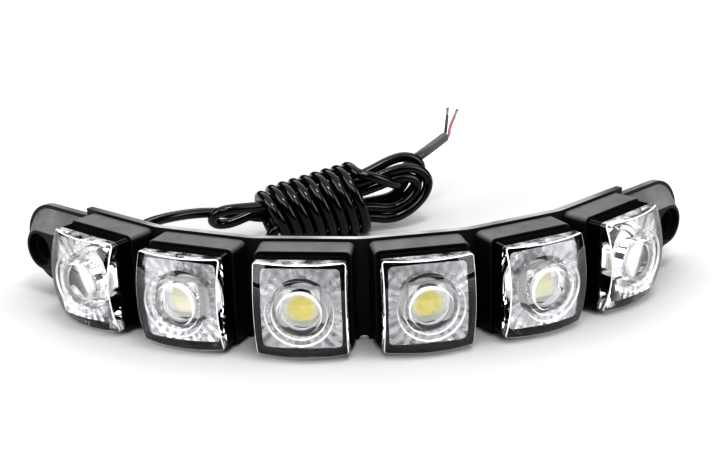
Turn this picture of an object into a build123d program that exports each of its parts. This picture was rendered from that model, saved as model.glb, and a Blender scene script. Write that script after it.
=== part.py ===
from build123d import *
import math
import os

# Flexible daytime running light: six square lamp modules in one rubber strip that is bent in
# an arc and stands on its lower edge. X runs along the strip, the lamps face -Y, Z is up.
# Each module is modelled in its own frame: x along the strip, y up, z out of the back face
# towards the front, so that a depth of 0 is the strip's back face.

# Strip layout, in millimetres and degrees
MODULE_COUNT = 6
BEND_STEP = 16.6
PLATE_THICKNESS = 2.0
PLATE_BORDER = 0.87
PLATE_OVERHANG = 1.87
WEB_LENGTH = 3.04
WEB_NOTCH = 1.3

# Clearance between pieces that slide into each other
FIT = 0.05

# Lamp case and the rubber socket round it
CASE_WIDTH = 24.0
CASE_HEIGHT = 25.4
CASE_DEPTH = 11.75
CASE_CORNER = 1.0
CASE_FLOOR = 1.2
BOARD_LEDGE = 1.3
RIM_SIDE = 2.1
RIM_TOP = 2.4
CAVITY_CORNER = 1.2
SOCKET_WALL = 0.68
SOCKET_DEPTH = 7.3
SOCKET_EDGE_FILLET = 0.3

# Lens: a spherical dome cut square, with two ring steps down to a valley round a central button
# in front and a recess for the LED behind
LENS_CORNER_HEIGHT = 1.6
LENS_CROWN = 5.2
RING_OUTER = 9.0
RING_MIDDLE = 7.3
RING_INNER = 5.6
RING_STEP = 0.7
RING_DRAFT = 0.3
BUTTON_CURVE = 15.0
SPIGOT_DEPTH = 0.8
RECESS_SIDE_GAP = 0.9
RECESS_TOP_GAP = 1.2
RECESS_FILLET = 0.6
LENS_EDGE_FILLET = 0.45

# Reflector
FLANGE_THICKNESS = 1.0
BOWL_LAND = 2.4
NECK_GAP = 0.35
BOWL_WALL = 0.6
BOWL_BULGE = 0.3

# Board and LED
BOARD_THICKNESS = 1.6
BOARD_GAP = 0.4
LED_GAP = 0.15
PACKAGE_SIZE = 9.0
PACKAGE_HEIGHT = 1.8
PACKAGE_CORNER = 0.8
PHOSPHOR_SIZE = 6.8
PHOSPHOR_CORNER = 2.0
PHOSPHOR_RECESS = 0.5
PHOSPHOR_RISE = 1.6
PHOSPHOR_FILLET = 1.1

# Wires inside the strip
WIRE_RADIUS = 0.45
DUCT_CLEARANCE = 0.1
WIRE_BEND = 0.9
WIRE_SPREAD = 0.9
WIRE_INSET = 2.9

# End lug: a rounded tongue with a tapered screw boss
LUG_REACH = 18.77
LUG_BORDER = 1.1
BOSS_FLARE = 5.2
BOSS_RING = 2.2
BOSS_HEIGHT = 5.6
BOSS_EDGE_FILLET = 0.5
SCREW_BORE = 4.6
HEAD_CLEARANCE = 1.3
SEAT_THICKNESS = 3.0
LIP_WIDTH = 0.9
LIP_DEPTH = 2.0

# Cable and its strain relief on the back of the first lug
CABLE_DIAMETER = 3.3
GROMMET_REACH = 6.77
GROMMET_LENGTH = 13.0
GROMMET_FLANGE_WIDTH = 2.9
GROMMET_FLANGE = 1.3
GROMMET_ROOT_WALL = 1.9
GROMMET_TIP_WALL = 0.8
GROMMET_GROOVES = 4
GROOVE_WIDTH = 0.9
GROOVE_WALL = 0.55
CORE_RADIUS = 0.5
CORE_START = 2.0

# Route of the cable from the grommet to the hank, after its straight start
LEAD_START = 17.0
LEAD_ROUTE = [
    (-64.5, 44.6, 14.0),
    (-56.0, 54.6, 12.8),
    (-46.5, 60.4, 11.6),
    (-36.0, 62.6, 9.6),
    (-27.0, 63.2, 9.0),
]
TAIL_ROUTE = [
    (14.0, 71.0, 19.0),
    (24.4, 83.2, 21.4),
    (34.0, 96.6, 24.0),
]
WIRE_ROUTES = {
    "wire_red": [(36.0, 99.2, 26.8), (39.4, 103.4, 32.2)],
    "wire_black": [(34.9, 99.6, 27.2), (36.0, 103.9, 32.8)],
}

# Hank: a barrel of wrapped turns that lies on the floor, with an eye of loops at each end
HANK_PLACE = (-30.6, 58.1)
HANK_HEADING = 18.0
BARREL_START = 2.0
BARREL_LENGTH = 35.8
BARREL_RADIUS_START = 9.1
BARREL_RADIUS_END = 11.9
BARREL_FILLET = 2.4
NECK_LENGTH = 5.4
NECK_RADIUS_START = 7.6
NECK_RADIUS_END = 3.6
LEFT_EYE_REACH = 18.6
LEFT_EYE_RADIUS = 4.4
LEFT_EYE_TUBE = 1.75
LEFT_EYE_TILT = 42.0
LEFT_EYE_HEIGHT = 11.4
RIGHT_EYE_REACH = 23.0
RIGHT_EYE_RADIUS = 6.4
RIGHT_EYE_TUBE = 4.8
RIGHT_EYE_TILT = 8.0
RIGHT_EYE_HEIGHT = 11.4
FLOOR_GAP = 0.05

# Share of the shorter run that a cord's arc takes up on each side of its point
ARC_SHARE = 0.45

# Rise along an edge from which it counts as upright
UPRIGHT = 0.9

# Placing of a round body on its base
ON_BASE = (Align.CENTER, Align.CENTER, Align.MIN)

# Depths in a module, from the back face outwards
RIM_DEPTH = PLATE_THICKNESS + CASE_DEPTH
FLOOR_DEPTH = PLATE_THICKNESS + CASE_FLOOR
LENS_BACK = RIM_DEPTH - SPIGOT_DEPTH
REFLECTOR_DEPTH = LENS_BACK - FIT
PACKAGE_DEPTH = LENS_BACK - LED_GAP
BOARD_DEPTH = PACKAGE_DEPTH - PACKAGE_HEIGHT
BOARD_SEAT = BOARD_DEPTH - BOARD_THICKNESS
PHOSPHOR_DEPTH = PACKAGE_DEPTH + PHOSPHOR_RISE
RECESS_DEPTH = PHOSPHOR_DEPTH + RECESS_TOP_GAP
WIRE_DEPTH = PLATE_THICKNESS / 2

# Sizes that follow from the fits
CAVITY_WIDTH = CASE_WIDTH - 2 * RIM_SIDE
CAVITY_HEIGHT = CASE_HEIGHT - 2 * RIM_TOP
POCKET_WIDTH = CASE_WIDTH + 2 * FIT
POCKET_HEIGHT = CASE_HEIGHT + 2 * FIT
SOCKET_WIDTH = POCKET_WIDTH + 2 * SOCKET_WALL
SOCKET_HEIGHT = POCKET_HEIGHT + 2 * SOCKET_WALL
STRIP_HEIGHT = SOCKET_HEIGHT + 2 * PLATE_BORDER
MID_HEIGHT = STRIP_HEIGHT / 2
MODULE_PITCH = SOCKET_WIDTH + WEB_LENGTH
PLATE_END = SOCKET_WIDTH / 2 + PLATE_OVERHANG
BEND_HALF = math.radians(BEND_STEP / 2)
WEB_RADIUS = WEB_LENGTH / 2 / math.tan(BEND_HALF)
DUCT_RADIUS = WIRE_RADIUS + DUCT_CLEARANCE
CABLE_RADIUS = CABLE_DIAMETER / 2
WIRE_ENTRY = CAVITY_WIDTH / 2 - WIRE_INSET
LENS_REACH = math.hypot(CASE_WIDTH, CASE_HEIGHT) / 2
LENS_APEX = LENS_CORNER_HEIGHT + LENS_CROWN
DOME_RADIUS = (LENS_REACH**2 + LENS_CROWN**2) / (2 * LENS_CROWN)
PHOSPHOR_REACH = (PHOSPHOR_SIZE / 2 - PHOSPHOR_CORNER) * math.sqrt(2) + PHOSPHOR_CORNER
RECESS_RADIUS = PHOSPHOR_REACH + RECESS_SIDE_GAP
BOWL_NECK = PACKAGE_SIZE / math.sqrt(2) + NECK_GAP
COUNTERBORE = SCREW_BORE + 2 * HEAD_CLEARANCE
LUG_OFFSET = SOCKET_WIDTH / 2 + LUG_REACH
BOSS_FACE_RADIUS = COUNTERBORE / 2 + BOSS_RING
BOSS_BASE_RADIUS = BOSS_FACE_RADIUS + BOSS_FLARE
LUG_RADIUS = BOSS_BASE_RADIUS + LUG_BORDER
GROMMET_OFFSET = SOCKET_WIDTH / 2 + GROMMET_REACH


def heading(index):
    """Turn of a module, or of a web at index + 0.5, about the vertical, in radians."""
    return math.radians(BEND_STEP * (index - (MODULE_COUNT - 1) / 2))


def along_dir(index):
    return Vector(math.cos(heading(index)), math.sin(heading(index)), 0)


def front_dir(index):
    return Vector(math.sin(heading(index)), -math.cos(heading(index)), 0)


def module_centres():
    """Middle of each module on the back face, walked from hinge to hinge about X = 0."""
    centres = [Vector(0, 0, 0)]
    for index in range(1, MODULE_COUNT):
        step = (along_dir(index - 1) + along_dir(index)) * (MODULE_PITCH / 2)
        centres.append(centres[-1] + step)
    middle = (centres[0] + centres[-1]) * 0.5
    return [centre - Vector(middle.X, 0, 0) for centre in centres]


CENTRES = module_centres()


def plan_point(index, along, depth):
    return CENTRES[index] + along_dir(index) * along + front_dir(index) * depth


def hinge_point(index, depth):
    """Where the straight lines of two neighbours at one depth cross, on the web after index."""
    bisector = front_dir(index + 0.5)
    return plan_point(index, MODULE_PITCH / 2, 0) + bisector * (depth / math.cos(BEND_HALF))


def web_middle(index, depth):
    """Middle of the web's arc at a depth."""
    bisector = front_dir(index + 0.5)
    arc_centre = hinge_point(index, 0) - bisector * (WEB_RADIUS / math.cos(BEND_HALF))
    return arc_centre + bisector * (WEB_RADIUS + depth)


def module_frame(index):
    centre = CENTRES[index] + Vector(0, 0, MID_HEIGHT)
    return Plane(origin=centre, x_dir=along_dir(index), z_dir=front_dir(index))


def block(width, height, bottom, top, corner):
    """A rounded block in a module's frame, between two depths."""
    return extrude(Pos(0, 0, bottom) * RectangleRounded(width, height, corner), top - bottom)


def plan_line(depth):
    """The strip's line at a depth, straight along each module and an arc at each web."""
    half = SOCKET_WIDTH / 2
    edges = []
    for index in range(MODULE_COUNT):
        start = -PLATE_END if index == 0 else -half
        end = PLATE_END if index == MODULE_COUNT - 1 else half
        edges.append(Line(plan_point(index, start, depth), plan_point(index, end, depth)))
        if index < MODULE_COUNT - 1:
            after = plan_point(index + 1, -half, depth)
            edges.append(ThreePointArc(edges[-1] @ 1, web_middle(index, depth), after))
    return edges


def back_plate():
    """Full-height plate along the strip, notched under each web."""
    back = plan_line(0)
    front = plan_line(PLATE_THICKNESS)
    ends = [Line(back[0] @ 0, front[0] @ 0), Line(back[-1] @ 1, front[-1] @ 1)]
    plate = extrude(make_face(back + front + ends), STRIP_HEIGHT, dir=(0, 0, 1))
    notch_radius = ((WEB_LENGTH / 2) ** 2 + WEB_NOTCH**2) / (2 * WEB_NOTCH)
    for index in range(MODULE_COUNT - 1):
        place = web_middle(index, 0) + Vector(0, 0, WEB_NOTCH - notch_radius)
        frame = Plane(origin=place, x_dir=along_dir(index + 0.5), z_dir=front_dir(index + 0.5))
        plate -= frame * Cylinder(notch_radius, 4 * PLATE_THICKNESS)
    return plate


def socket():
    """Outside of a rubber socket, rooted in the plate."""
    front = PLATE_THICKNESS + SOCKET_DEPTH
    corner = CASE_CORNER + FIT + SOCKET_WALL
    body = block(SOCKET_WIDTH, SOCKET_HEIGHT, 0, front, corner)
    return fillet(body.edges().group_by(Axis.Z)[-1], SOCKET_EDGE_FILLET)


def pocket():
    """Space that the case takes in the socket."""
    return block(POCKET_WIDTH, POCKET_HEIGHT, PLATE_THICKNESS, RIM_DEPTH, CASE_CORNER + FIT)


def tongue_outline(radius, root):
    """A straight-sided shape from the root to a round end about the screw hole."""
    straight = LUG_OFFSET - root
    sides = Pos(root + straight / 2, 0) * Rectangle(straight, 2 * radius)
    return sides + Pos(LUG_OFFSET, 0) * Circle(radius)


def lug():
    """Screw lug at the +x end of a module: tongue and tapered boss."""
    root = SOCKET_WIDTH / 2 - SOCKET_WALL / 2
    seat = PLATE_THICKNESS
    tongue = extrude(tongue_outline(LUG_RADIUS, root), seat)
    base = Pos(0, 0, seat) * tongue_outline(BOSS_BASE_RADIUS, root)
    face = Pos(0, 0, seat + BOSS_HEIGHT) * tongue_outline(BOSS_FACE_RADIUS, root)
    boss = loft([base.face(), face.face()])
    boss = fillet(boss.edges().group_by(Axis.Z)[-1].filter_by(GeomType.CIRCLE), BOSS_EDGE_FILLET)
    return tongue + boss


def lug_hole():
    through = Pos(LUG_OFFSET, 0, 0) * Cylinder(SCREW_BORE / 2, 4 * BOSS_HEIGHT)
    wide = Cylinder(COUNTERBORE / 2, BOSS_HEIGHT + PLATE_THICKNESS, align=ON_BASE)
    mouth = Cylinder(BOSS_FACE_RADIUS - LIP_WIDTH, 2 * LIP_DEPTH)
    hole = through + Pos(LUG_OFFSET, 0, SEAT_THICKNESS) * wide
    return hole + Pos(LUG_OFFSET, 0, PLATE_THICKNESS + BOSS_HEIGHT) * mouth


def wire_path(points, radii, side):
    lifted = [point + Vector(0, 0, MID_HEIGHT + side * WIRE_SPREAD) for point in points]
    return FilletPolyline(*lifted, radius=radii)


def link_path(index, side):
    """From one board down into the plate, round the web and up to the next board."""
    points = [
        plan_point(index, WIRE_ENTRY, BOARD_SEAT),
        plan_point(index, WIRE_ENTRY, WIRE_DEPTH),
        hinge_point(index, WIRE_DEPTH),
        plan_point(index + 1, -WIRE_ENTRY, WIRE_DEPTH),
        plan_point(index + 1, -WIRE_ENTRY, BOARD_SEAT),
    ]
    return wire_path(points, [WIRE_BEND, WEB_RADIUS + WIRE_DEPTH, WIRE_BEND], side)


def feed_path(side):
    """From the cable's inner end along the plate to the first board."""
    points = [
        plan_point(0, -GROMMET_OFFSET, 0),
        plan_point(0, -GROMMET_OFFSET, WIRE_DEPTH),
        plan_point(0, -WIRE_ENTRY, WIRE_DEPTH),
        plan_point(0, -WIRE_ENTRY, BOARD_SEAT),
    ]
    return wire_path(points, [WIRE_BEND, WIRE_BEND], side)


def tube(path, radius):
    return sweep(Plane(origin=path @ 0, z_dir=path % 0) * Circle(radius), path)


def wire_paths():
    """Both paths of each pair, by the pair's name."""
    pairs = {"feed_wires": [feed_path(side) for side in (1, -1)]}
    for index in range(MODULE_COUNT - 1):
        pairs[f"link_wires_{index + 1}"] = [link_path(index, side) for side in (1, -1)]
    return pairs


def carrier_strip(paths):
    strip = back_plate()
    left = mirror(lug(), about=Plane.YZ)
    strip += module_frame(0) * left
    strip += module_frame(MODULE_COUNT - 1) * lug()
    for index in range(MODULE_COUNT):
        strip += module_frame(index) * socket()
    for index in range(MODULE_COUNT):
        strip -= module_frame(index) * pocket()
    strip -= module_frame(0) * mirror(lug_hole(), about=Plane.YZ)
    strip -= module_frame(MODULE_COUNT - 1) * lug_hole()
    for pair in paths.values():
        for path in pair:
            strip -= tube(path, DUCT_RADIUS)
    return strip


def module_case():
    """Open lamp case with a broad black rim, a ledge for the board and wire holes in its floor."""
    case = block(CASE_WIDTH, CASE_HEIGHT, PLATE_THICKNESS, RIM_DEPTH, CASE_CORNER)
    case -= block(CAVITY_WIDTH, CAVITY_HEIGHT, BOARD_SEAT, RIM_DEPTH, CAVITY_CORNER)
    width, height = CAVITY_WIDTH - 2 * BOARD_LEDGE, CAVITY_HEIGHT - 2 * BOARD_LEDGE
    case -= block(width, height, FLOOR_DEPTH, BOARD_SEAT, CAVITY_CORNER)
    for along in (-WIRE_ENTRY, WIRE_ENTRY):
        for up in (-WIRE_SPREAD, WIRE_SPREAD):
            case -= Pos(along, up, FLOOR_DEPTH) * Cylinder(DUCT_RADIUS, 2 * CASE_FLOOR + FIT)
    return case


def dome_depth(radius):
    """Depth of the lens's sphere at a distance from its axis."""
    drop = DOME_RADIUS - math.sqrt(DOME_RADIUS**2 - radius**2)
    return RIM_DEPTH + LENS_APEX - drop


def dome_arc(outer, inner, sunk):
    points = [(radius, dome_depth(radius) - sunk) for radius in (outer, (outer + inner) / 2, inner)]
    return ThreePointArc(*points)


def button_arc():
    """Front of the central button, more curved than the dome, with its top at the lens's top."""
    points = []
    for radius in (RING_INNER, RING_INNER / 2, 0):
        drop = BUTTON_CURVE - math.sqrt(BUTTON_CURVE**2 - radius**2)
        points.append((radius, RIM_DEPTH + LENS_APEX - drop))
    return ThreePointArc(*points)


def dome_solid():
    """Round solid under the lens's front, with the two ring steps and the central button."""
    rim = dome_arc(LENS_REACH, RING_OUTER, 0)
    land = dome_arc(RING_OUTER - RING_DRAFT, RING_MIDDLE, RING_STEP)
    valley = dome_arc(RING_MIDDLE - RING_DRAFT, RING_INNER + RING_DRAFT, 2 * RING_STEP)
    button = button_arc()
    edges = [
        Line((0, RIM_DEPTH), (LENS_REACH, RIM_DEPTH)),
        Line((LENS_REACH, RIM_DEPTH), rim @ 0),
        rim,
        Line(rim @ 1, land @ 0),
        land,
        Line(land @ 1, valley @ 0),
        valley,
        Line(valley @ 1, button @ 0),
        button,
        Line(button @ 1, (0, RIM_DEPTH)),
    ]
    return revolve(Plane.XZ * make_face(edges), Axis.Z)


def lens():
    """Clear lens that covers the rim, with a spigot in the case's mouth and a recess for the LED."""
    body = block(CASE_WIDTH, CASE_HEIGHT, RIM_DEPTH, RIM_DEPTH + LENS_APEX, CASE_CORNER) & dome_solid()
    body = fillet(lens_front_edges(body), LENS_EDGE_FILLET)
    width, height = CAVITY_WIDTH - 2 * FIT, CAVITY_HEIGHT - 2 * FIT
    body += block(width, height, LENS_BACK, RIM_DEPTH, CAVITY_CORNER - FIT)
    recess = Cylinder(RECESS_RADIUS, RECESS_DEPTH - LENS_BACK, align=ON_BASE)
    recess = fillet(recess.edges().group_by(Axis.Z)[-1], RECESS_FILLET)
    return body - Pos(0, 0, LENS_BACK) * recess


def lens_front_edges(body):
    """Edges where the dome meets the lens's four sides and corners."""
    edges = []
    for edge in body.edges():
        middle = edge @ 0.5
        outside = math.hypot(middle.X, middle.Y) > RING_OUTER + RING_DRAFT
        raised = middle.Z > RIM_DEPTH + LENS_EDGE_FILLET
        upright = abs((edge % 0.5).Z) > UPRIGHT
        if outside and raised and not upright:
            edges.append(edge)
    return edges


def reflector():
    """Silvered bowl that stands on the board, with a square flange under the lens."""
    width, height = CAVITY_WIDTH - 2 * FIT, CAVITY_HEIGHT - 2 * FIT
    mouth = width / 2 - BOWL_LAND
    middle = ((BOWL_NECK + mouth) / 2 + BOWL_BULGE, (BOARD_DEPTH + REFLECTOR_DEPTH) / 2)
    inner = ThreePointArc((BOWL_NECK, BOARD_DEPTH), middle, (mouth, REFLECTOR_DEPTH))
    outer = Pos(BOWL_WALL, 0) * inner
    ends = [Line(inner @ 0, outer @ 0), Line(inner @ 1, outer @ 1)]
    bowl = revolve(Plane.XZ * make_face([inner, outer] + ends), Axis.Z)
    back = REFLECTOR_DEPTH - FLANGE_THICKNESS
    flange = block(width, height, back, REFLECTOR_DEPTH, CAVITY_CORNER - FIT)
    axis = Polyline(inner @ 1, (0, REFLECTOR_DEPTH), (0, BOARD_DEPTH), inner @ 0)
    opening = make_face([inner] + axis.edges())
    return flange + bowl - revolve(Plane.XZ * opening, Axis.Z)


def led_board():
    width, height = CAVITY_WIDTH - 2 * BOARD_GAP, CAVITY_HEIGHT - 2 * BOARD_GAP
    return block(width, height, BOARD_SEAT, BOARD_DEPTH, CAVITY_CORNER)


def led_package():
    """LED body with a shallow recess for the phosphor."""
    body = block(PACKAGE_SIZE, PACKAGE_SIZE, BOARD_DEPTH, PACKAGE_DEPTH, PACKAGE_CORNER)
    size = PHOSPHOR_SIZE + 2 * FIT
    bottom = PACKAGE_DEPTH - PHOSPHOR_RECESS
    return body - block(size, size, bottom, PACKAGE_DEPTH, PHOSPHOR_CORNER + FIT)


def led_phosphor():
    bottom = PACKAGE_DEPTH - PHOSPHOR_RECESS
    body = block(PHOSPHOR_SIZE, PHOSPHOR_SIZE, bottom, PHOSPHOR_DEPTH, PHOSPHOR_CORNER)
    return fillet(body.edges().group_by(Axis.Z)[-1], PHOSPHOR_FILLET)


def cable_grommet():
    """Tapered, grooved strain relief on the back of the first lug, modelled along -z."""
    bore = CABLE_RADIUS + FIT
    flange = bore + GROMMET_FLANGE_WIDTH
    profile = Polyline(
        (bore, 0),
        (flange, 0),
        (flange, -GROMMET_FLANGE),
        (bore + GROMMET_ROOT_WALL, -GROMMET_FLANGE),
        (bore + GROMMET_TIP_WALL, -GROMMET_LENGTH),
        (bore, -GROMMET_LENGTH),
        close=True,
    )
    sleeve = revolve(Plane.XZ * make_face(profile), Axis.Z)
    spacing = (GROMMET_LENGTH - GROMMET_FLANGE) / (GROMMET_GROOVES + 1)
    ring = Cylinder(flange, GROOVE_WIDTH) - Cylinder(bore + GROOVE_WALL, GROOVE_WIDTH)
    for groove in range(GROMMET_GROOVES):
        sleeve -= Pos(0, 0, -GROMMET_FLANGE - spacing * (groove + 1)) * ring
    return Pos(-GROMMET_OFFSET, 0, 0) * sleeve


def cord_radii(points):
    """Largest arcs that the runs allow: a share of the shorter run over the tangent of half the turn."""
    radii = []
    for before, point, after in zip(points, points[1:], points[2:]):
        run_in, run_out = point - before, after - point
        half_turn = math.radians(run_in.get_angle(run_out) / 2)
        radii.append(ARC_SHARE * min(run_in.length, run_out.length) / math.tan(half_turn))
    return radii


def cord_tube(points, radius, name):
    points = [Vector(*point) for point in points]
    radii = cord_radii(points)
    path = FilletPolyline(*points, radius=radii)
    solid = tube(path, radius)
    section = math.pi * radius**2 * path.length
    print(name, "radii", [round(value, 1) for value in radii], "length", round(path.length, 1))
    print(name, "volume", round(solid.volume, 1), "section times length", round(section, 1))
    return solid


def hank():
    """Outer shape of the wrapped hank, in its own frame: x along it, z up from the floor."""
    rise = BARREL_RADIUS_END - BARREL_RADIUS_START
    tilt = math.degrees(math.asin(rise / BARREL_LENGTH))
    along_x = (0, 90, 0)
    barrel = Cone(BARREL_RADIUS_START, BARREL_RADIUS_END, BARREL_LENGTH, align=ON_BASE)
    barrel = fillet(barrel.edges().filter_by(GeomType.CIRCLE), BARREL_FILLET)
    neck = Cone(NECK_RADIUS_END, NECK_RADIUS_START, NECK_LENGTH + BARREL_FILLET, align=ON_BASE)
    wrapped = Rot(0, -tilt, 0) * (Rot(*along_x) * (barrel + Pos(0, 0, -NECK_LENGTH) * neck))
    wrapped = Pos(BARREL_START, 0, BARREL_RADIUS_START / math.cos(math.radians(tilt))) * wrapped
    return wrapped + left_eye() + right_eye()


def eye(reach, radius, tube_radius):
    """A loop of strands in the XZ plane that leaves x = 0 and turns back at its reach."""
    turn = reach - radius - tube_radius
    path = Polyline((0, 0, -radius), (turn, 0, -radius)).edges()
    path += [ThreePointArc((turn, 0, -radius), (turn + radius, 0, 0), (turn, 0, radius))]
    path += Polyline((turn, 0, radius), (0, 0, radius)).edges()
    return tube(Wire(path), tube_radius)


def left_eye():
    rooted = 2 * BARREL_FILLET
    loop = Rot(0, 0, 180) * eye(LEFT_EYE_REACH + rooted, LEFT_EYE_RADIUS, LEFT_EYE_TUBE)
    return Pos(BARREL_START + rooted, 0, LEFT_EYE_HEIGHT) * (Rot(LEFT_EYE_TILT, 0, 0) * loop)


def right_eye():
    rooted = 2 * BARREL_FILLET
    loop = eye(RIGHT_EYE_REACH + rooted, RIGHT_EYE_RADIUS, RIGHT_EYE_TUBE)
    end = BARREL_START + BARREL_LENGTH - rooted
    return Pos(end, 0, RIGHT_EYE_HEIGHT) * (Rot(0, -RIGHT_EYE_TILT, 0) * loop)


def cable_pieces(exit_frame):
    """Lead, hank and tail of the cable and the two bare cores, in the part's frame."""
    bundle = Pos(*HANK_PLACE, FLOOR_GAP) * (Rot(0, 0, HANK_HEADING) * hank())
    start = exit_frame.origin
    straight = start - exit_frame.z_dir * LEAD_START
    lead = cord_tube([start, straight] + LEAD_ROUTE, CABLE_RADIUS, "cable_lead") - bundle
    tail = cord_tube(TAIL_ROUTE, CABLE_RADIUS, "cable_tail") - bundle
    pieces = {"cable_lead": lead, "cable_hank": bundle, "cable_tail": tail}
    end, before = Vector(*TAIL_ROUTE[-1]), Vector(*TAIL_ROUTE[-2])
    out = (end - before).normalized()
    across = Vector(0, 0, 1).cross(out).normalized() * (CABLE_RADIUS / 2)
    for name, side in (("wire_red", -1), ("wire_black", 1)):
        root = end + across * side
        pieces[name] = cord_tube([root, root + out * CORE_START] + WIRE_ROUTES[name], CORE_RADIUS, name)
    return pieces


def strip_pieces():
    """Every piece of the lamp itself, by node name."""
    paths = wire_paths()
    pieces = {"carrier_strip": carrier_strip(paths)}
    for name, pair in paths.items():
        pieces[name] = Compound([tube(path, WIRE_RADIUS).solid() for path in pair])
    repeated = {
        "module_case": module_case(),
        "lens": lens(),
        "reflector": reflector(),
        "led_board": led_board(),
        "led_package": led_package(),
        "led_phosphor": led_phosphor(),
    }
    for name, piece in repeated.items():
        for index in range(MODULE_COUNT):
            pieces[f"{name}_{index + 1}"] = module_frame(index) * piece
    pieces["cable_grommet"] = module_frame(0) * cable_grommet()
    return pieces


def main():
    os.makedirs("parts", exist_ok=True)
    pieces = strip_pieces()
    box = Compound([piece for piece in pieces.values()]).bounding_box()
    centre = box.center()
    to_origin = Pos(-centre.X, -centre.Y, -box.min.Z)
    pieces = {name: to_origin * piece for name, piece in pieces.items()}
    exit_point = plan_point(0, -GROMMET_OFFSET, 0) + Vector(0, 0, MID_HEIGHT)
    exit_frame = Plane(
        origin=exit_point - Vector(centre.X, centre.Y, box.min.Z),
        x_dir=along_dir(0),
        z_dir=front_dir(0),
    )
    print("moved to the origin by", round(-centre.X, 3), round(-centre.Y, 3), round(-box.min.Z, 3))
    pieces.update(cable_pieces(exit_frame))
    for name, piece in pieces.items():
        export_step(piece, f"parts/{name}.step")


main()
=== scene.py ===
import math

import bmesh
import bpy
from mathutils import Matrix, Vector


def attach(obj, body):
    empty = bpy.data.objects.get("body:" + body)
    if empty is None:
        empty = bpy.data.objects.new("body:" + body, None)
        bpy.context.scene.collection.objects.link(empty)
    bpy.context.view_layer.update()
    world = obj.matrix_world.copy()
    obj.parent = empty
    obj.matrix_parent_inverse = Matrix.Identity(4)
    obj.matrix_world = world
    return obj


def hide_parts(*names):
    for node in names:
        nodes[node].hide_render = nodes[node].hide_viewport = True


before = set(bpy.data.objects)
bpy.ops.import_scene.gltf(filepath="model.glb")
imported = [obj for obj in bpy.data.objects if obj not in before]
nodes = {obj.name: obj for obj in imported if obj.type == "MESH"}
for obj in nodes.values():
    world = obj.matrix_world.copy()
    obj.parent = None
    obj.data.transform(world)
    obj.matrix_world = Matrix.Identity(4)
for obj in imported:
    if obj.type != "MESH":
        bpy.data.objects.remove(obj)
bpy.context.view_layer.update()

MM = 0.001

# The row of lamps: its modules, the links between them, the turn from each lamp to the next, and
# the height of the lamps' axes in millimetres
MODULES = range(1, 7)
LINKS = MODULES[:-1]
ROW_MIDDLE = sum(MODULES) / len(MODULES)
BEND_STEP = math.radians(16.6)
MID_HEIGHT = 14.3


# Camera at the photograph's viewing angle

CAMERA_PLACE = Vector((-10.117, -326.74, 136.87)) * MM
CAMERA_TURN = math.radians(1.82)
CAMERA_PITCH = math.radians(19.387)
CAMERA_ROLL = math.radians(1.703)
CAMERA_LENS = 62.5
SENSOR_WIDTH = 36.0
CLIP_START = 0.01


def add_camera():
    level = math.cos(CAMERA_PITCH)
    look = Vector((
        math.sin(CAMERA_TURN) * level,
        math.cos(CAMERA_TURN) * level,
        -math.sin(CAMERA_PITCH),
    ))
    turn = look.to_track_quat("-Z", "Y").to_matrix() @ Matrix.Rotation(-CAMERA_ROLL, 3, "Z")
    camera = bpy.data.objects.new("camera", bpy.data.cameras.new("camera"))
    camera.data.lens = CAMERA_LENS
    camera.data.sensor_width = SENSOR_WIDTH
    camera.data.clip_start = CLIP_START
    camera.matrix_world = Matrix.Translation(CAMERA_PLACE) @ turn.to_4x4()
    bpy.context.scene.collection.objects.link(camera)
    bpy.context.scene.camera = camera


add_camera()


# Route of the cable: out of the grommet, along four long turns of the hank, round them in
# close wraps, through the right-hand eye and up to its cut end. Lengths are in millimetres.

CABLE_DIAMETER = 3.3
CABLE_RADIUS = CABLE_DIAMETER / 2
CABLE_EXIT = (-79.33, 20.47, 14.3)
LEAD = [
    CABLE_EXIT,
    (-68.06, 33.2, 14.3),
    (-64.5, 44.6, 14.0),
    (-56.0, 54.6, 12.8),
    (-46.5, 60.4, 11.6),
    (-36.0, 62.6, 9.6),
]

# The hank lies along a line that is turned about the vertical. Its wraps make a barrel that rises
# and flares to the right, with a narrow neck at the left.
HANK_PLACE = Vector((-30.6, 58.1, 0.05))
HANK_TURN = Matrix.Rotation(math.radians(18.0), 3, "Z")
BARREL_LENGTH = 36.4
BARREL_RISE = 2.7
BARREL_FLARE = 3.2
NECK_LENGTH = 6.0
NECK_TAPER = 1.9
WRAP_RADIUS = 7.6
WRAP_TURNS = 8.5
WRAP_POINTS = 12
WRAP_START = 2.8
WRAP_END = 34.8
WRAP_SLANT = 3.0
AXIS_HEIGHT = WRAP_RADIUS + CABLE_RADIUS

# Turns of the points on a half-round bight, in degrees, and how far the points of a round bend
# lie outside it, so that the smooth line between them keeps its size
BIGHT_ANGLES = [15, 45, 75, 105, 135, 165]
OUTSIDE_ARC = 1 / math.cos(math.radians(180 / WRAP_POINTS))

# Strands of the bundle inside the wraps, in the order that the cable runs through them: left end
# along the hank, turn there on the bundle's ring, from the top towards the back, and at the right
# end the place across the hank and the rise above its axis
BUNDLE_RING = 4.4
STRANDS = [
    (3.0, 112.5, (2.1, -2.9)),
    (3.0, 67.5, (2.1, 2.9)),
    (4.0, 337.5, (-1.9, 5.6)),
    (16.0, 202.5, (-1.9, -6.4)),
    (16.0, 22.5, (1.7, 6.6)),
    (16.6, 157.5, (1.7, -5.8)),
    (16.6, 292.5, (-1.7, 2.4)),
    (10.0, 247.5, (-1.7, -2.9)),
]

# Bights at the right end: first and last point, how far the middle is pushed out, all as
# (along, height), and the places across of both ends
RIGHT_BIGHTS = [
    ((45.0, 9.0), (47.0, 18.6), (6.4, 1.6), (2.2, 2.6)),
    ((46.0, 20.4), (42.0, 2.8), (14.8, 1.6), (-1.2, -2.6)),
    ((46.0, 22.1), (44.0, 5.2), (13.2, 3.6), (3.6, 1.4)),
    ((46.0, 17.0), (43.0, 6.2), (10.4, 1.6), (-1.4, -2.0)),
]

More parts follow.
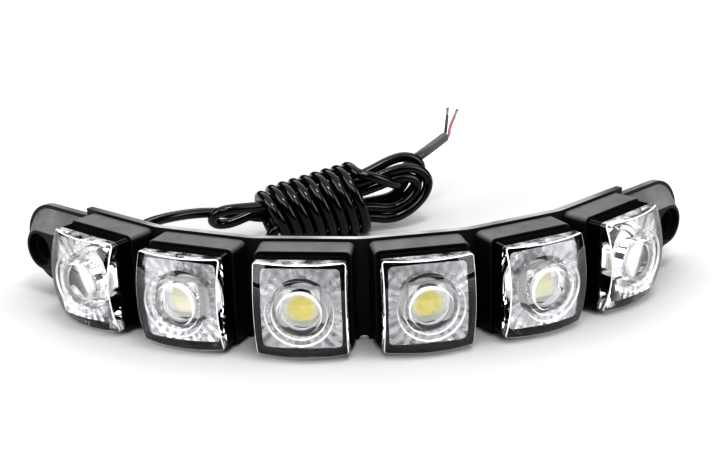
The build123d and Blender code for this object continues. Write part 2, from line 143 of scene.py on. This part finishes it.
# Bights at the left end: middle along the hank, and the legs out and back as (across, height)
LEFT_BIGHTS = [
    (-10.6, (2.94, 8.2), (-2.94, 14.7)),
    (10.0, (-1.7, 5.0), (1.7, 13.5)),
    (10.6, (2.0, 5.0), (-4.1, 11.4)),
]
LEG_LENGTH = 3.0

# From the bundle to the first wrap, and from the last wrap to the cut end
WRAP_LEAD_IN = [
    (6.6, -4.4, 7.6),
    (4.2, -4.6, 6.6),
    (2.5, -4.4, 4.6),
    (2.6, -3.0, 2.7),
    (4.3, -0.9, 1.8),
]
TAIL_IN_HANK = [
    (32.8, -4.6, 21.4),
    (37.4, -6.6, 20.4),
    (42.0, -6.2, 18.2),
    (45.8, -4.6, 16.3),
    (48.6, -2.2, 14.8),
    (50.2, 0.9, 14.2),
    (51.5, 4.1, 15.2),
    (53.6, 6.6, 17.2),
    (56.6, 7.6, 19.6),
]
TAIL = [(24.4, 83.2, 21.4), (34.0, 96.6, 24.0)]

# Smoothness of the curves: round their sections, and along each kind of line
SECTION_STEPS = 5
CABLE_STEPS = 5
CORE_STEPS = 10
TIP_STEPS = 6
SPLINE_ORDER = 3


def from_hank(along, across, height):
    return HANK_TURN @ Vector((along, across, height)) + HANK_PLACE


def strand(index):
    """Points of one strand of the bundle, from its left end to its right end."""
    along, angle, (across, rise) = STRANDS[index]
    turn = math.radians(angle)
    height = AXIS_HEIGHT + BARREL_RISE * along / BARREL_LENGTH
    left = (along, BUNDLE_RING * math.sin(turn), height + BUNDLE_RING * math.cos(turn))
    right = (BARREL_LENGTH, across, AXIS_HEIGHT + BARREL_RISE + rise)
    middle = tuple((a + b) / 2 for a, b in zip(left, right))
    return [left, middle, right]


def right_bight(index):
    """Points of a leaning round end, from one strand to the next."""
    first, last, push, (start, end) = RIGHT_BIGHTS[index]
    first, last, push = Vector(first), Vector(last), Vector(push)
    points = []
    for angle in BIGHT_ANGLES:
        turn = math.radians(angle)
        arm = (first - last) / 2 * math.cos(turn) + push * math.sin(turn)
        place = (first + last) / 2 + arm * OUTSIDE_ARC
        points.append((place.x, start + (end - start) * angle / 180, place.y))
    return points


def left_bight(index):
    """Points of a round end between two legs that needn't stand above each other."""
    middle, leg_out, leg_back = LEFT_BIGHTS[index]
    out, back = Vector(leg_out), Vector(leg_back)
    arm = (out - back) / 2
    points = [(middle + LEG_LENGTH, *out)]
    for angle in BIGHT_ANGLES:
        turn = math.radians(angle)
        place = (out + back) / 2 + arm * (OUTSIDE_ARC * math.cos(turn))
        points.append((middle - arm.length * OUTSIDE_ARC * math.sin(turn), *place))
    return points + [(middle + LEG_LENGTH, *back)]


def bundle_points():
    """Points of the long turns, out along one strand and back along the next."""
    points = []
    for turn in range(len(RIGHT_BIGHTS)):
        points += strand(2 * turn)
        points += right_bight(turn)
        points += strand(2 * turn + 1)[::-1]
        if turn < len(LEFT_BIGHTS):
            points += left_bight(turn)
    return points


def wrap_points():
    """Close slanted wraps from the narrow neck to the right, which come down over the front."""
    steps = int(WRAP_TURNS * WRAP_POINTS)
    points = []
    for step in range(1, steps + 1):
        turn = math.pi + 2 * math.pi * step / WRAP_POINTS
        along = WRAP_START + (WRAP_END - WRAP_START) * step / steps
        share = along / BARREL_LENGTH
        neck = NECK_TAPER * max(0, 1 - along / NECK_LENGTH)
        radius = WRAP_RADIUS + BARREL_FLARE * share - neck
        height = AXIS_HEIGHT + BARREL_RISE * share - neck + radius * OUTSIDE_ARC * math.cos(turn)
        across = -radius * OUTSIDE_ARC * math.sin(turn)
        points.append((along - WRAP_SLANT * math.cos(turn), across, max(height, CABLE_RADIUS)))
    return points


def cable_route():
    hank = bundle_points() + WRAP_LEAD_IN + wrap_points() + TAIL_IN_HANK
    return [Vector(p) for p in LEAD] + [from_hank(*p) for p in hank] + [Vector(p) for p in TAIL]


def soft_line(name, routes, radius, resolution):
    """A curve piece with one smooth spline for each route and a round section. The radius is in
    millimetres, and the points bring it to metres."""
    curve = bpy.data.curves.new(name, "CURVE")
    curve.dimensions = "3D"
    curve.bevel_depth = radius
    curve.bevel_resolution = SECTION_STEPS
    curve.resolution_u = resolution
    curve.use_fill_caps = True
    for route in routes:
        spline = curve.splines.new("NURBS")
        spline.points.add(len(route) - 1)
        for point, place in zip(spline.points, route):
            point.co = (*(Vector(place) * MM), 1.0)
            point.radius = MM
        spline.order_u = SPLINE_ORDER
        spline.use_endpoint_u = True
    piece = bpy.data.objects.new(name, curve)
    bpy.context.scene.collection.objects.link(piece)
    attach(piece, "root")
    return piece


# Bare cores at the cable's cut end: insulation, then fine filaments that spread from each other

CORE_RADIUS = 0.5
FILAMENT_RADIUS = 0.2
CORES = {
    "red": [
        (34.67, 96.12, 24.0),
        (35.82, 97.73, 24.31),
        (36.0, 99.2, 26.8),
        (38.2, 101.9, 30.2),
    ],
    "black": [
        (33.33, 97.08, 24.0),
        (34.48, 98.69, 24.31),
        (34.9, 99.6, 27.2),
        (35.6, 102.2, 30.4),
    ],
}
CORE_TIPS = {
    "red": [(37.9, 101.5, 29.7), (39.4, 103.4, 32.2)],
    "black": [(35.5, 101.9, 29.9), (36.0, 103.9, 32.8)],
}

# How each filament spreads, and the share of that at its start, middle and end
FILAMENT_SPLAY = [(-0.28, 0.1), (0.26, 0.2), (0.02, -0.28), (-0.05, 0.02)]
SPLAY_SHARES = (0.6, 0.9, 1.5)


def filaments(start, end):
    """Routes of the filaments of one core between two points."""
    first, last = Vector(start), Vector(end)
    places = (first, (first + last) / 2, last)
    routes = []
    for across, along in FILAMENT_SPLAY:
        splay = Vector((across, along, 0))
        routes.append([place + splay * share for place, share in zip(places, SPLAY_SHARES)])
    return routes


cable = soft_line("cable", [cable_route()], CABLE_RADIUS, CABLE_STEPS)
core_red = soft_line("core_red", [CORES["red"]], CORE_RADIUS, CORE_STEPS)
core_black = soft_line("core_black", [CORES["black"]], CORE_RADIUS, CORE_STEPS)
tip_red = soft_line("tip_red", filaments(*CORE_TIPS["red"]), FILAMENT_RADIUS, TIP_STEPS)
tip_black = soft_line("tip_black", filaments(*CORE_TIPS["black"]), FILAMENT_RADIUS, TIP_STEPS)
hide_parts("cable_lead", "cable_hank", "cable_tail")
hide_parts("wire_red")
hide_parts("wire_black")


# Places on the strip

UP = (0, 0, 1)
BACK = (0, 1, 0)


def heading(module):
    """Turn of a module about the vertical."""
    return BEND_STEP * (module - ROW_MIDDLE)


def front_of(module):
    """The way that a module's lamp faces."""
    return (math.sin(heading(module)), -math.cos(heading(module)), 0.0)


def axis_place(module):
    """A point on the axis of a module's lamp."""
    corners = [Vector(corner) for corner in nodes[f"led_board_{module}"].bound_box]
    middle = sum(corners, Vector()) / len(corners)
    return (middle.x, middle.y, MID_HEIGHT * MM)


# Means of making a finish

# Sockets of a Mix node that take and give colours
MIX_FIRST, MIX_SECOND, MIX_RESULT = 6, 7, 2

# Spans of a pattern over which one colour gives way to another
EVEN = (0.3, 0.7)
LATE = (0.35, 0.75)


def grey(value):
    return (value, value, value)


def opaque(colour):
    return (*colour, 1.0)


def metres(lengths):
    return [length * MM for length in lengths]


def squares(lengths):
    return [length ** 2 for length in metres(lengths)]


def socket_of(shader, name):
    return shader.inputs[name.replace("_", " ")]


def set_constants(shader, constants):
    for name, value in constants.items():
        socket_of(shader, name).default_value = value


class Flow:
    """A socket of a finish. Arithmetic on it adds Math nodes."""

    def __init__(self, finish, socket):
        self.finish = finish
        self.socket = socket

    def maths(self, operation, first, second):
        return self.finish.add("ShaderNodeMath", {"operation": operation}, {0: first, 1: second})

    def __add__(self, other):
        return self.maths("ADD", self, other)

    def __radd__(self, other):
        return self.maths("ADD", other, self)

    def __sub__(self, other):
        return self.maths("SUBTRACT", self, other)

    def __rsub__(self, other):
        return self.maths("SUBTRACT", other, self)

    def __mul__(self, other):
        return self.maths("MULTIPLY", self, other)

    def __truediv__(self, other):
        return self.maths("DIVIDE", self, other)

    def around(self, along):
        """Angle of a place round an axis, this being its rise."""
        return self.maths("ARCTAN2", self, along)

    def waves(self, span):
        """Rises and falls between 0 and 1 over each span."""
        return self.maths("PINGPONG", self, span) / span

    def clamped(self):
        return self.finish.add("ShaderNodeClamp", {}, {"Value": self})

    def step(self, start, end):
        """Rises from 0 at the start to 1 at the end, which may lie below the start."""
        return ((self - start) / (end - start)).clamped()


class Finish:
    """A material round one Principled shader, whose constants are set on its own sockets."""

    def __init__(self, name, **constants):
        self.material = bpy.data.materials.new(name)
        self.material.use_nodes = True
        self.tree = self.material.node_tree
        self.shader = self.tree.nodes["Principled BSDF"]
        set_constants(self.shader, constants)

    def add(self, kind, settings, values, out=0):
        """Adds a node: its settings first, then the values or links of its sockets."""
        node = self.tree.nodes.new(kind)
        for name, value in settings.items():
            setattr(node, name, value)
        for name, value in values.items():
            if isinstance(value, Flow):
                self.tree.links.new(value.socket, node.inputs[name])
            else:
                node.inputs[name].default_value = value
        return Flow(self, node.outputs[out])

    def place(self):
        return self.add("ShaderNodeTexCoord", {}, {}, "Object")

    def part(self, vector, axis):
        return self.add("ShaderNodeSeparateXYZ", {}, {"Vector": vector}, axis)

    def along(self, axis):
        """Place along one axis of the frame."""
        return self.part(self.place(), axis)

    def off_axis(self, module):
        """Places along the strip and up from the axis of a module's lamp."""
        values = {
            "Vector": self.place(),
            "Location": axis_place(module),
            "Rotation": (0, 0, heading(module)),
        }
        place = self.add("ShaderNodeMapping", {"vector_type": "TEXTURE"}, values)
        return [self.part(place, axis) for axis in "XZ"]

    def facing(self, direction):
        """How far the surface faces a direction, from -1 to 1."""
        normal = self.add("ShaderNodeNewGeometry", {}, {}, "Normal")
        settings = {"operation": "DOT_PRODUCT"}
        return self.add("ShaderNodeVectorMath", settings, {0: normal, 1: direction}, "Value")

    def noise(self, size_mm, detail, roughness=0.55):
        values = {
            "Vector": self.place(),
            "Scale": 1 / (size_mm * MM),
            "Detail": detail,
            "Roughness": roughness,
        }
        return self.add("ShaderNodeTexNoise", {}, values, "Fac")

    def facets(self, size_mm):
        values = {"Vector": self.place(), "Scale": 1 / (size_mm * MM)}
        return self.add("ShaderNodeTexVoronoi", {}, values, "Distance")

    def ramp(self, flow, first, last, span=EVEN):
        """Blends one colour into another over a span of the flow."""
        blend = self.add("ShaderNodeValToRGB", {}, {"Fac": flow}, "Color")
        elements = blend.socket.node.color_ramp.elements
        for element, place, colour in zip(elements, span, (first, last)):
            element.position = place
            element.color = opaque(colour)
        return blend

    def mix(self, factor, first, second):
        """Blends two colours, each of which may be a flow, by a factor."""
        first, second = [c if isinstance(c, Flow) else opaque(c) for c in (first, second)]
        values = {"Factor": factor, MIX_FIRST: first, MIX_SECOND: second}
        return self.add("ShaderNodeMix", {"data_type": "RGBA"}, values, MIX_RESULT)

    def bump(self, flow, depth_mm, strength):
        values = {"Height": flow, "Distance": depth_mm * MM, "Strength": strength}
        return self.add("ShaderNodeBump", {}, values, "Normal")

    def overlay(self, factor, **constants):
        """Lays a second shader over the first one by a factor."""
        over = self.tree.nodes.new("ShaderNodeBsdfPrincipled")
        set_constants(over, constants)
        mixer = self.tree.nodes.new("ShaderNodeMixShader")
        output = self.tree.nodes["Material Output"]
        self.tree.links.new(factor.socket, mixer.inputs[0])
        self.tree.links.new(self.shader.outputs[0], mixer.inputs[1])
        self.tree.links.new(over.outputs[0], mixer.inputs[2])
        self.tree.links.new(mixer.outputs[0], output.inputs["Surface"])

    def feed(self, **flows):
        """Links flows to the shader's sockets and gives the finished material."""
        for name, flow in flows.items():
            self.tree.links.new(flow.socket, socket_of(self.shader, name))
        return self.material


# Finishes of the part. Each pair says where a look starts and where it is full.

# Heights on the strip, in millimetres: its top edge, which carries a painted highlight, and the
# dust with a painted sheen on what faces up
TOP_EDGE_FROM = (28.54, 28.59)
DUST_AND_SHEEN_FROM = (17.0, 19.0)

# Distances from the strip's middle, in millimetres: its end lugs, and the middle part of its top
# edge that carries the painted highlight
LUG_FROM = (84.0, 89.0)
EDGE_HIGHLIGHT_TO = (76.0, 50.0)

# Distance behind the strip, in millimetres: the cable's tail, which is paler and rougher
PALE_TAIL_FROM = (80.0, 88.0)

# Distances from a lamp's axis, in millimetres: both edges of the dark arcs painted on its board as
# shade, how far the arcs keep from the diagonals, and the resin's pale rim
ARC_INSIDE = (5.2, 5.4)
ARC_OUTSIDE = (7.7, 7.5)
ARC_ENDS = (0.0, 2.0)
PALE_RIM = (2.0, 3.6)

# How far a surface faces a direction, 1 being straight at it: dust with a painted sheen lies on
# what faces up, and bloom with painted light on what faces back. A lens is frosted where it slants,
# neither sideways nor straight to the front, and where it faces up or down, which goes by the
# square.
DUST_AND_SHEEN_FACING = (0.2, 0.8)
BLOOM_AND_BACK_LIGHT_FACING = (0.2, 0.7)
FROST_FROM_SIDEWAYS = (0.06, 0.2)
FROST_FROM_FRONT = (0.83, 0.76)
FROST_FACING_SQUARED = (0.7, 0.95)

# Colours that lie over those of the material itself
BLOOM_AND_BACK_LIGHT = (0.035, 0.035, 0.034)
DUST_AND_SHEEN = (0.115, 0.115, 0.112)
LUG_DUST_AND_SHEEN = (0.16, 0.16, 0.155)
EDGE_HIGHLIGHT = (0.42, 0.42, 0.41)
FROST = (0.88, 0.89, 0.9)
PAINTED_SHADE_ARC = (0.004, 0.004, 0.005)
PALE_RESIN = (0.86, 0.85, 0.74)
PALE_TAIL = (0.07, 0.07, 0.065)

# Flutes round a reflector
FLUTES = 28

# Painted reflection: how much paler each LED is drawn, most on the lamps that are turned furthest
PAINTED_GLARE = {1: 0.8, 2: 0.75, 3: 0.0, 4: 0.0, 5: 0.65, 6: 0.8}


def moulded_rubber():
    """Satin black rubber: fine mould grain, a bloom with painted light on its back, dust with a
    painted sheen on what faces up and a painted highlight along its top edge."""
    finish = Finish("moulded_rubber", Specular_IOR_Level=0.2)
    mottle = finish.noise(size_mm=9.0, detail=4.0)
    grain = finish.noise(size_mm=0.32, detail=2.0)
    patches = finish.noise(size_mm=14.0, detail=2.0)
    drift = finish.noise(size_mm=5.0, detail=3.0)
    across = finish.along("X")
    height = finish.along("Z")
    top_edge = height.step(*metres(TOP_EDGE_FROM))
    middle = (across * across).step(*squares(EDGE_HIGHLIGHT_TO))
    # Painted highlight: a pale line along the middle of the strip's top edge
    edge_highlight = (top_edge * middle * (patches * 1.6 - 0.25)).clamped()
    # Painted sheen: faces that look up are drawn paler, partly dust and partly light on them, more
    # on the lugs
    dust_and_sheen = finish.facing(UP).step(*DUST_AND_SHEEN_FACING) * (0.55 + drift * 0.7)
    dust_and_sheen = dust_and_sheen * height.step(*metres(DUST_AND_SHEEN_FROM)) * (1 - top_edge * 0.6)
    # Painted light: faces that look back are drawn paler, partly bloom and partly light on the back
    bloom_and_back_light = finish.facing(BACK).step(*BLOOM_AND_BACK_LIGHT_FACING) * (0.4 + mottle * 0.9)
    lug = (across * across).step(*squares(LUG_FROM))
    body = finish.ramp(mottle, grey(0.003), grey(0.008))
    body = finish.mix(bloom_and_back_light.clamped(), body, BLOOM_AND_BACK_LIGHT)
    body = finish.mix(dust_and_sheen.clamped(), body, finish.mix(lug, DUST_AND_SHEEN, LUG_DUST_AND_SHEEN))
    return finish.feed(
        Base_Color=finish.mix(edge_highlight, body, EDGE_HIGHLIGHT),
        Roughness=0.4 + mottle * 0.14 + grain * 0.06,
        Normal=finish.bump(grain + mottle * 0.4, depth_mm=0.05, strength=0.5),
    )


def case_plastic():
    """Smooth black case with faint smears."""
    finish = Finish("case_plastic", Specular_IOR_Level=0.12)
    smear = finish.noise(size_mm=6.0, detail=5.0, roughness=0.6)
    ripple = finish.noise(size_mm=1.6, detail=2.0)
    return finish.feed(
        Base_Color=finish.ramp(smear, grey(0.001), (0.003, 0.003, 0.004), LATE),
        Roughness=0.08 + smear * 0.1,
        Normal=finish.bump(ripple, depth_mm=0.02, strength=0.4),
    )


def clear_lens(module):
    """Clear lens, frosted by its mould on the edges, ring steps, and upper and lower sides."""
    finish = Finish(f"clear_lens_{module}", Transmission_Weight=1.0, IOR=1.49)
    smear = finish.noise(size_mm=4.0, detail=4.0)
    ripple = finish.noise(size_mm=3.0, detail=1.0)
    front = finish.facing(front_of(module))
    slanted = front.step(*FROST_FROM_SIDEWAYS) * front.step(*FROST_FROM_FRONT)
    up = finish.facing(UP)
    sides = (up * up).step(*FROST_FACING_SQUARED)
    frost = slanted * (0.4 + smear * 0.8) + sides * (smear * 1.5 - 0.6)
    finish.overlay(frost.clamped(), Base_Color=opaque(FROST), Roughness=0.4)
    return finish.feed(
        Base_Color=finish.ramp(smear, (0.96, 0.97, 1.0), grey(1.0)),
        Roughness=smear * 0.04,
        Normal=finish.bump(ripple, depth_mm=0.02, strength=0.3),
    )


def bright_reflector(module):
    """Vacuum-silvered plastic with radial flutes, small facets and a faint lavender cast."""
    finish = Finish(f"bright_reflector_{module}", Metallic=0.85)
    along, up = finish.off_axis(module)
    flutes = up.around(along).waves(math.pi / FLUTES)
    cloud = finish.noise(size_mm=5.0, detail=3.0)
    facets = finish.facets(size_mm=2.2)
    tone = cloud * 0.7 + flutes * 0.3
    relief = flutes * 0.8 + facets + cloud * 0.5
    return finish.feed(
        Base_Color=finish.ramp(tone, (0.7, 0.7, 0.69), (0.5, 0.496, 0.515)),
        Roughness=0.18 + cloud * 0.2,
        Normal=finish.bump(relief, depth_mm=0.35, strength=0.7),
    )


def board_mask(module):
    """White-masked board with painted shade: a dark arc above and below the LED."""
    finish = Finish(f"board_mask_{module}")
    speck = finish.noise(size_mm=0.6, detail=3.0)
    along, up = finish.off_axis(module)
    reach = along * along + up * up
    # Painted shade: dark arcs above and below the LED, standing in for the shaded recess round it
    ring = reach.step(*squares(ARC_INSIDE)) * reach.step(*squares(ARC_OUTSIDE))
    upright = (up * up - along * along).step(*squares(ARC_ENDS))
    white = finish.ramp(speck, grey(0.7), grey(0.8))
    return finish.feed(
        Base_Color=finish.mix(ring * upright, white, PAINTED_SHADE_ARC),
        Roughness=0.3 + speck * 0.2,
        Normal=finish.bump(speck, depth_mm=0.02, strength=0.4),
    )


def led_ceramic():
    """Off-white ceramic of an LED's body."""
    finish = Finish("led_ceramic")
    speck = finish.noise(size_mm=0.4, detail=3.0)
    return finish.feed(
        Base_Color=finish.ramp(speck, (0.74, 0.74, 0.7), (0.82, 0.81, 0.78)),
        Roughness=0.4 + speck * 0.2,
        Normal=finish.bump(speck, depth_mm=0.02, strength=0.3),
    )


def phosphor_resin(module):
    """Yellow phosphor settled unevenly in clear resin, paler towards its rim, and paler still on
    the turned lamps by a painted reflection.
    """
    finish = Finish(f"phosphor_resin_{module}", Coat_Roughness=0.12, Coat_Weight=0.4)
    along, up = finish.off_axis(module)
    rim = (along * along + up * up).step(*squares(PALE_RIM))
    # Painted reflection: the LEDs of the turned lamps are drawn paler
    pale = (rim + PAINTED_GLARE[module]).clamped()
    cloud = finish.noise(size_mm=2.2, detail=2.0)
    speck = finish.noise(size_mm=0.12, detail=2.0)
    tone = (cloud * 0.8 + speck * 0.3).clamped()
    yellow = finish.ramp(tone, (0.8, 0.67, 0.07), (0.88, 0.8, 0.28), LATE)
    return finish.feed(
        Base_Color=finish.mix(pale, yellow, PALE_RESIN),
        Roughness=0.35 + speck * 0.2,
        Normal=finish.bump(speck, depth_mm=0.015, strength=0.5),
    )


def wire_skin(name, dark, light):
    """Streaky plastic insulation of a wire."""
    finish = Finish(name, Specular_IOR_Level=0.4)
    streak = finish.noise(size_mm=1.2, detail=3.0)
    skin = finish.noise(size_mm=0.3, detail=2.0)
    return finish.feed(
        Base_Color=finish.ramp(streak, dark, light),
        Roughness=0.35 + streak * 0.2,
        Normal=finish.bump(skin, depth_mm=0.02, strength=0.5),
    )


def cable_sheath():
    """Semi-gloss black sheath with handling marks, a slightly wavy skin and a paler, rougher tail.
    """
    finish = Finish("cable_sheath", Specular_IOR_Level=0.38)
    mark = finish.noise(size_mm=7.0, detail=4.0, roughness=0.6)
    skin = finish.noise(size_mm=0.9, detail=2.0)
    # Paler and rougher towards the cut end
    tail = finish.along("Y").step(*metres(PALE_TAIL_FROM))
    body = finish.ramp(mark, grey(0.001), (0.004, 0.004, 0.003), LATE)
    return finish.feed(
        Base_Color=finish.mix(tail, body, PALE_TAIL),
        Roughness=0.08 + mark * 0.12 + tail * 0.3,
        Normal=finish.bump(skin, depth_mm=0.03, strength=0.5),
    )


def tinned_copper():
    """Dull tinned filaments."""
    finish = Finish("tinned_copper", Metallic=1.0)
    dull = finish.noise(size_mm=0.5, detail=3.0)
    return finish.feed(
        Base_Color=finish.ramp(dull, grey(0.1), (0.25, 0.25, 0.24)),
        Roughness=0.3 + dull * 0.2,
    )


def dress(material, *pieces):
    for piece in pieces:
        piece.data.materials.clear()
        piece.data.materials.append(material)


def each(name, numbers=MODULES):
    return [nodes[f"{name}_{number}"] for number in numbers]


dress(moulded_rubber(), nodes["carrier_strip"], nodes["cable_grommet"])
dress(case_plastic(), *each("module_case"))
for module in MODULES:
    dress(clear_lens(module), nodes[f"lens_{module}"])
    dress(bright_reflector(module), nodes[f"reflector_{module}"])
    dress(board_mask(module), nodes[f"led_board_{module}"])
    dress(phosphor_resin(module), nodes[f"led_phosphor_{module}"])
dress(led_ceramic(), *each("led_package"))
insulation = wire_skin("wire_insulation", grey(0.02), grey(0.05))
dress(insulation, nodes["feed_wires"], *each("link_wires", LINKS))
dress(cable_sheath(), cable)
dress(wire_skin("core_red_skin", (0.17, 0.05, 0.056), (0.3, 0.13, 0.137)), core_red)
dress(wire_skin("core_black_skin", grey(0.015), grey(0.04)), core_black)
dress(tinned_copper(), tip_red, tip_black)


# Floor and soft studio light

# Half of the floor's side, in metres
FLOOR_HALF = 3.0

# Middle of the floor's painted shadow, a greyer patch behind the origin, and the distances from
# there over which the floor grows paler and starts to glow, in millimetres
FLOOR_CENTRE = 45.0
FLOOR_PALE = (90.0, 240.0)
FLOOR_GLOW = (500.0, 900.0)

# Greys of the floor in that painted shadow and away from it
SHADOWED_FLOOR = 0.435
FAR_FLOOR = 0.93

# Softboxes: place, target, and width and depth, in metres, and power in watts
SOFTBOXES = {
    "softbox_top": ((0.0, 0.22, 0.85), (0.0, 0.22, 0.0), (1.6, 1.5), 9.0),
    "softbox_key": ((0.1, -0.22, 0.8), (0.0, 0.02, 0.0), (0.24, 0.1), 2.2),
    "softbox_back": ((0.05, 0.8, 0.62), (0.0, 0.0, 0.02), (1.3, 0.28), 2.4),
    "softbox_front": ((-0.15, -0.75, 0.7), (0.0, 0.0, 0.02), (0.7, 0.35), 4.0),
    "softbox_left": ((-0.75, -0.25, 0.35), (0.0, 0.0, 0.02), (0.6, 0.6), 4.4),
    "softbox_right": ((0.75, -0.25, 0.35), (0.0, 0.0, 0.02), (0.6, 0.6), 4.0),
}
WORLD_STRENGTH = 0.05


def studio_floor():
    """White floor with a painted shadow that makes it greyer round the strip, and which glows far
    away, like a lit backdrop.
    """
    finish = Finish("studio_floor", Specular_IOR_Level=0.2, Emission_Strength=1.0)
    cloud = finish.noise(size_mm=160.0, detail=2.0)
    across = finish.along("X")
    back = finish.along("Y") - FLOOR_CENTRE * MM
    reach = across * across + back * back
    # Painted shadow: the floor is drawn greyer round the strip
    away = reach.step(*squares(FLOOR_PALE)) + cloud * 0.04
    glow = reach.step(*squares(FLOOR_GLOW))
    return finish.feed(
        Base_Color=finish.mix(away.clamped(), grey(SHADOWED_FLOOR), grey(FAR_FLOOR)),
        Roughness=0.6 + cloud * 0.1,
        Emission_Color=finish.mix(glow, grey(0.0), grey(1.0)),
    )


def add_floor():
    mesh = bpy.data.meshes.new("floor")
    sheet = bmesh.new()
    bmesh.ops.create_grid(sheet, x_segments=1, y_segments=1, size=FLOOR_HALF)
    sheet.to_mesh(mesh)
    sheet.free()
    floor = bpy.data.objects.new("floor", mesh)
    bpy.context.scene.collection.objects.link(floor)
    dress(studio_floor(), floor)


def add_softbox(name, place, target, size, power):
    light = bpy.data.lights.new(name, "AREA")
    light.shape = "RECTANGLE"
    light.size, light.size_y = size
    light.energy = power
    box = bpy.data.objects.new(name, light)
    aim = (Vector(target) - Vector(place)).to_track_quat("-Z", "Y")
    box.matrix_world = Matrix.Translation(place) @ aim.to_matrix().to_4x4()
    bpy.context.scene.collection.objects.link(box)


def add_world():
    world = bpy.data.worlds.new("studio")
    world.use_nodes = True
    background = world.node_tree.nodes["Background"]
    set_constants(background, {"Color": opaque(grey(1.0)), "Strength": WORLD_STRENGTH})
    bpy.context.scene.world = world


add_floor()
for name, settings in SOFTBOXES.items():
    add_softbox(name, *settings)
add_world()
bpy.context.scene.view_settings.view_transform = "Standard"
bpy.context.scene.view_settings.look = "High Contrast"
